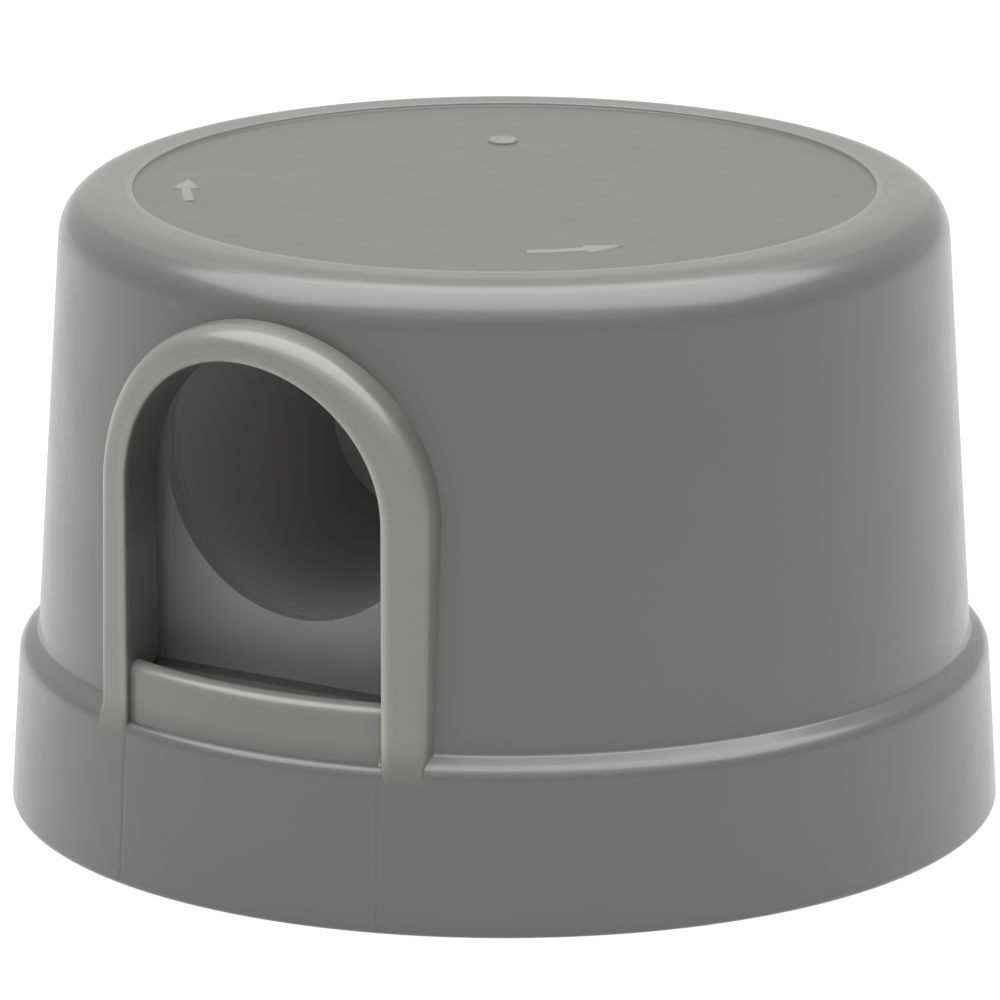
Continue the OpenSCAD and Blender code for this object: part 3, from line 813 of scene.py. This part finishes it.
def boss_rib(shell, turn):
    """Upright rib that ties a boss to the wall."""
    near = BOSS_PLACE_R + BOSS_R - RIB_IN_BOSS
    far = body_bore(BASE_TOP) + RIB_IN_WALL
    c, s = math.cos(turn), math.sin(turn)

    def ring(z):
        loop = [(near, -RIB_HALF), (far, -RIB_HALF), (far, RIB_HALF), (near, RIB_HALF)]
        return [(u * c - v * s, u * s + v * c, z) for u, v in loop]

    def middle(z):
        return [((near + far) / 2 * c, (near + far) / 2 * s, z)] * 4

    shell.grid([middle(BASE_TOP), ring(BASE_TOP), ring(BOSS_TOP), middle(BOSS_TOP)], close=True)


def cover_bosses(shell):
    """Screw bosses inside the cover, each with its rib."""
    section = [(BOSS_BORE_R, BASE_TOP), (BOSS_R, BASE_TOP), (BOSS_R, BOSS_TOP), (0, BOSS_TOP)]
    section += [(0, BOSS_BORE_TOP), (BOSS_BORE_R, BOSS_BORE_TOP), (BOSS_BORE_R, BASE_TOP)]
    for turn in PLACES:
        turned(shell, BOSS_PLACE_R, turn, section)
        boss_rib(shell, turn)


def base_screw_set():
    """Screws with rounded heads and cross recesses, which show under the base."""
    shell = Shell()
    head_top = BASE_Z + HEAD_H
    section = [(0, SCREW_TOP), (SCREW_R - SCREW_POINT, SCREW_TOP), (SCREW_R, SCREW_TOP - SCREW_POINT)]
    section += [(SCREW_R, head_top), (HEAD_R, head_top)]
    section += fillet((HEAD_R, head_top), (HEAD_R, BASE_Z), (0, BASE_Z), HEAD_EDGE, SMALL_EDGE_POINTS)
    section += [(cross_reach, BASE_Z), (recess_floor, BASE_Z + RECESS_DEPTH)]
    section += [(0, BASE_Z + RECESS_MIDDLE_DEPTH)]
    for turn in PLACES:
        turned(shell, BOSS_PLACE_R, turn, section[::-1])
    return shell.make("base_screw_set", screw_steel)


def blade_rivet_set():
    """Rivets with domed heads."""
    shell = Shell()
    domes = [(HEAD_R * t, (1 - t * t)) for t in DOME_SHARES]
    dome_h = BASE_Z - RIVET_BRIM - RIVET_LOW
    section = [(r, BASE_Z - RIVET_BRIM - dome_h * rise) for r, rise in domes[::-1]]
    section += [(HEAD_R, BASE_Z), (SCREW_R, BASE_Z), (SCREW_R, FOOT_TOP), (HEAD_R, FOOT_TOP)]
    section += [(r, FOOT_TOP + RIVET_BRIM + dome_h * rise) for r, rise in domes]
    for turn in PLACES:
        turned(shell, RIVET_PLACE_R, turn, section)
    return shell.make("blade_rivet_set", rivet_metal)


shell = Shell()
revolve(shell)
window_frame(shell)
sill(shell)
cover_bosses(shell)
cover = shell.make("cover_moulding", cover_plastic)
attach(cover, "root")
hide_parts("cover")

screws = base_screw_set()
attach(screws, "root")
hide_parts("base_screws")

rivets = blade_rivet_set()
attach(rivets, "root")
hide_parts("blade_rivets")

# Raised marks on the top: two plain arrows and the pip of the mould's gate
MARK_RISE = 0.09
MARK_SUNK = 0.03
MARK_HALF = 0.45
MARK_SLOPE = 0.12
LEAST_TOP = 0.02
ARROW_HALF = 1.15
ARROW_LENGTH = 3.2
ARROW_TIP = 0.06
ARROW_NECK = 1.03
SHAFT_POINTS = 14
ARROW_POINTS = 6
PIP_R = 1.25
PIP_FOOT = 0.02
PIP_RISE = 0.27
PIP_EDGE = 0.2
PIP_AT = (-9.1, 14.5)
PIP_COLUMN_STEP = 10

# Section of the pip's dimple as radii and rises, and the arrows as radius, start and end in degrees
PIP_DIMPLE = ((0.8, PIP_RISE), (0.6, 0.1), (0, 0.06))
ARROWS = ((23.3, 36, 56), (26.7, -47, -64))


def mark_finish(point):
    """Finish of the raised marks."""
    return MARK_MASK


def mark_ribbon(shell, path, widths):
    """Raised strip with sloped sides along a path of points on the disc."""
    path = np.array(path, float)
    along = np.gradient(path, axis=0)
    along /= np.linalg.norm(along, axis=1)[:, None]
    across = np.stack([-along[:, 1], along[:, 0]], 1)
    rows = []
    for point, side, half in zip(path, across, widths):
        top = max(half - MARK_SLOPE, LEAST_TOP)
        section = [(half, -MARK_SUNK), (half, 0), (top, MARK_RISE), (0, MARK_RISE)]
        section += [(-off, rise) for off, rise in section[2::-1]]
        rows.append([(*(point + side * off), DISC_Z + rise) for off, rise in section])
    shell.grid(rows, mask=mark_finish)
    for end, flip in ((rows[0], True), (rows[-1], False)):
        middle = np.mean(end, 0)
        shell.grid([end, [middle] * len(end)], flip=flip, mask=mark_finish)


def mark_arrow(shell, radius, start, end):
    """Arrow along an arc; angles in degrees from the window side."""
    def point(t):
        return (radius * math.sin(math.radians(t)), -radius * math.cos(math.radians(t)))

    reach = math.degrees(ARROW_LENGTH / radius) * (1 if end > start else -1)
    shaft = np.linspace(start, end - reach * ARROW_NECK, SHAFT_POINTS)
    head = np.linspace(end - reach, end, ARROW_POINTS)
    widths = [MARK_HALF] * len(shaft) + list(np.linspace(ARROW_HALF, ARROW_TIP, len(head)))
    mark_ribbon(shell, [point(t) for t in (*shaft, *head)], widths)


def gate_pip(shell):
    """Shallow round pip with a rounded edge and a dimple."""
    section = [(PIP_R, -MARK_SUNK), (PIP_R, PIP_FOOT)]
    section += fillet((PIP_R, 0), (PIP_R, PIP_RISE), (0, PIP_RISE), PIP_EDGE, SMALL_EDGE_POINTS)
    section += PIP_DIMPLE
    turns = np.radians(np.arange(0, 360, PIP_COLUMN_STEP))
    x, y = PIP_AT
    rows = [[(x + r * math.cos(t), y + r * math.sin(t), DISC_Z + z) for t in turns] for r, z in section]
    shell.grid(rows, close=True, mask=mark_finish)


def top_marks():
    """Marks as a piece of their own, in the cover's plastic."""
    shell = Shell()
    for arrow in ARROWS:
        mark_arrow(shell, *arrow)
    gate_pip(shell)
    piece = shell.make("top_marks", cover_plastic)
    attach(piece, "root")


top_marks()

# Materials of the carried-over nodes
FINISHES = {
    "window_pane": clear_pane, "cell_holder": holder_plastic, "photocell": cell_ceramic,
    "base_plate": base_plastic, "gasket": gasket_rubber,
    "neutral_blade": blade_brass, "line_blade": blade_brass, "load_blade": blade_brass,
    "circuit_board": board_laminate, "board_screws": screw_steel,
    "relay": relay_plastic, "dropper_capacitor": film_plastic, "smoothing_capacitor": can_sleeve,
    "surge_varistor": varistor_ceramic, "rectifier_diodes": diode_plastic, "zener_diode": zener_glass,
    "resistors": resistor_ceramic, "transistor": diode_plastic, "solder_joints": solder,
}
NODE_WELD = 0.001
PANE_RELIEF = 0.03
BLADE_EDGE = 0.2
BLADE_EDGE_SEGMENTS = 2
BLADE_EDGE_DEGREES = 40
SPLIT_DEGREES = 30


def weld(node):
    """Joins a node's points that meet, so that the modifiers after it see closed edges."""
    node.modifiers.new("weld", "WELD").merge_threshold = NODE_WELD * MM


def draw_in(node):
    """Draws faces in by a hair, so that no clear face lies in the same plane as a face it touches."""
    weld(node)
    relief = node.modifiers.new("relief", "DISPLACE")
    relief.mid_level = 0
    relief.strength = -PANE_RELIEF * MM


def break_edges(node):
    """Breaks the edges of a stamping."""
    weld(node)
    broken = node.modifiers.new("broken", "BEVEL")
    broken.width = BLADE_EDGE * MM
    broken.segments = BLADE_EDGE_SEGMENTS
    broken.limit_method = "ANGLE"
    broken.angle_limit = math.radians(BLADE_EDGE_DEGREES)


for name, finish in FINISHES.items():
    node = nodes[name]
    node.data.materials.clear()
    node.data.materials.append(finish)
    if name == "window_pane":
        draw_in(node)
    if finish == blade_brass:
        break_edges(node)
    node.modifiers.new("split", "EDGE_SPLIT").split_angle = math.radians(SPLIT_DEGREES)
    node.modifiers.new("weighted", "WEIGHTED_NORMAL")


# Camera
def direction(azimuth, elevation):
    """Unit vector from the object out to an azimuth and an elevation; azimuth 0 is the window side."""
    return Vector((
        math.sin(azimuth) * math.cos(elevation),
        -math.cos(azimuth) * math.cos(elevation),
        math.sin(elevation),
    ))


def add_camera():
    """Long lens at the photograph's angle."""
    data = bpy.data.cameras.new("camera")
    data.sensor_width = SENSOR
    data.lens = FOCAL_PIXELS / IMAGE_PIXELS * SENSOR
    data.shift_x = (IMAGE_PIXELS / 2 - AXIS_PIXEL_X) / IMAGE_PIXELS
    data.clip_end = CLIP_END * MM
    camera = bpy.data.objects.new("camera", data)
    back = direction(VIEW_AZIMUTH, VIEW_ELEVATION)
    camera.location = Vector((0, 0, VIEW_TARGET_Z * MM)) + back * VIEW_DISTANCE * MM
    camera.rotation_euler = (-back).to_track_quat("-Z", "Y").to_euler()
    bpy.context.scene.collection.objects.link(camera)
    bpy.context.scene.camera = camera


# Light and floor; the floor lies a hair under the rim, so the two never share a plane
FLOOR_GAP = 0.02
FLOOR_HALF = 3000
FLOOR_GLOW = 1.05
FLOOR_GLOW_SHARE = 0.9
WORLD_LIGHT = 0.7
WORLD_SEEN = 1
LAMP_AIM_Z = 30


def seen_by(tree, *rays):
    """1 for the named kinds of rays, 0 for others."""
    path = tree.nodes.new("ShaderNodeLightPath")
    total = path.outputs[rays[0]]
    for ray in rays[1:]:
        join = tree.nodes.new("ShaderNodeMath")
        join.operation = "MAXIMUM"
        tree.links.new(total, join.inputs[0])
        tree.links.new(path.outputs[ray], join.inputs[1])
        total = join.outputs[0]
    return total


def add_world():
    """Grey surround as a source of light, seen as white."""
    world = bpy.data.worlds.new("studio")
    bpy.context.scene.world = world
    world.use_nodes = True
    tree = world.node_tree
    lit = tree.nodes["Background"]
    lit.inputs["Color"].default_value = (1, 1, 1, 1)
    lit.inputs["Strength"].default_value = WORLD_LIGHT
    seen = tree.nodes.new("ShaderNodeBackground")
    seen.inputs["Color"].default_value = (1, 1, 1, 1)
    seen.inputs["Strength"].default_value = WORLD_SEEN
    mix = tree.nodes.new("ShaderNodeMixShader")
    tree.links.new(seen_by(tree, "Is Camera Ray", "Is Transmission Ray"), mix.inputs["Fac"])
    tree.links.new(lit.outputs[0], mix.inputs[1])
    tree.links.new(seen.outputs[0], mix.inputs[2])
    tree.links.new(mix.outputs[0], tree.nodes["World Output"].inputs["Surface"])


def floor_white():
    """White that glows to the eye and keeps a soft trace of the shadow."""
    material = new_material("floor_white", (0.85, 0.85, 0.85), 0.9)
    tree = material.node_tree
    vary(material, add_noise(material, 30), "Roughness", 0.85, 0.95)
    glow = tree.nodes.new("ShaderNodeEmission")
    glow.inputs["Strength"].default_value = FLOOR_GLOW
    mix = tree.nodes.new("ShaderNodeMixShader")
    weight = tree.nodes.new("ShaderNodeMath")
    weight.operation = "MULTIPLY"
    weight.inputs[1].default_value = FLOOR_GLOW_SHARE
    tree.links.new(seen_by(tree, "Is Camera Ray", "Is Glossy Ray", "Is Transmission Ray"), weight.inputs[0])
    tree.links.new(weight.outputs[0], mix.inputs["Fac"])
    tree.links.new(tree.nodes["Principled BSDF"].outputs[0], mix.inputs[1])
    tree.links.new(glow.outputs[0], mix.inputs[2])
    tree.links.new(mix.outputs[0], tree.nodes["Material Output"].inputs["Surface"])
    return material


def add_floor():
    """Floor under the object, far wider than the picture."""
    half = FLOOR_HALF * MM
    mesh = bpy.data.meshes.new("floor")
    corners = [(-half, -half), (half, -half), (half, half), (-half, half)]
    mesh.from_pydata([(x, y, -FLOOR_GAP * MM) for x, y in corners], [], [(0, 1, 2, 3)])
    floor = bpy.data.objects.new("floor", mesh)
    bpy.context.scene.collection.objects.link(floor)
    mesh.materials.append(floor_white())


def add_lamp(name, azimuth, elevation, distance, width, depth, watts):
    """Soft lamp that faces the object; angles in degrees, lengths in metres."""
    back = direction(math.radians(azimuth), math.radians(elevation))
    data = bpy.data.lights.new(name, "AREA")
    data.shape = "RECTANGLE"
    data.size = width
    data.size_y = depth
    data.energy = watts
    lamp = bpy.data.objects.new(name, data)
    lamp.visible_camera = False
    lamp.location = back * distance + Vector((0, 0, LAMP_AIM_Z * MM))
    lamp.rotation_euler = (-back).to_track_quat("-Z", "Y").to_euler()
    bpy.context.scene.collection.objects.link(lamp)


bpy.context.scene.view_settings.view_transform = "Standard"
add_camera()
add_world()
add_floor()
add_lamp("overhead", VIEW_DEGREES, elevation=83.3, distance=0.6, width=1.6, depth=0.7, watts=13.4)
add_lamp("front", VIEW_DEGREES, elevation=42, distance=0.8, width=1.2, depth=0.3, watts=0.7)
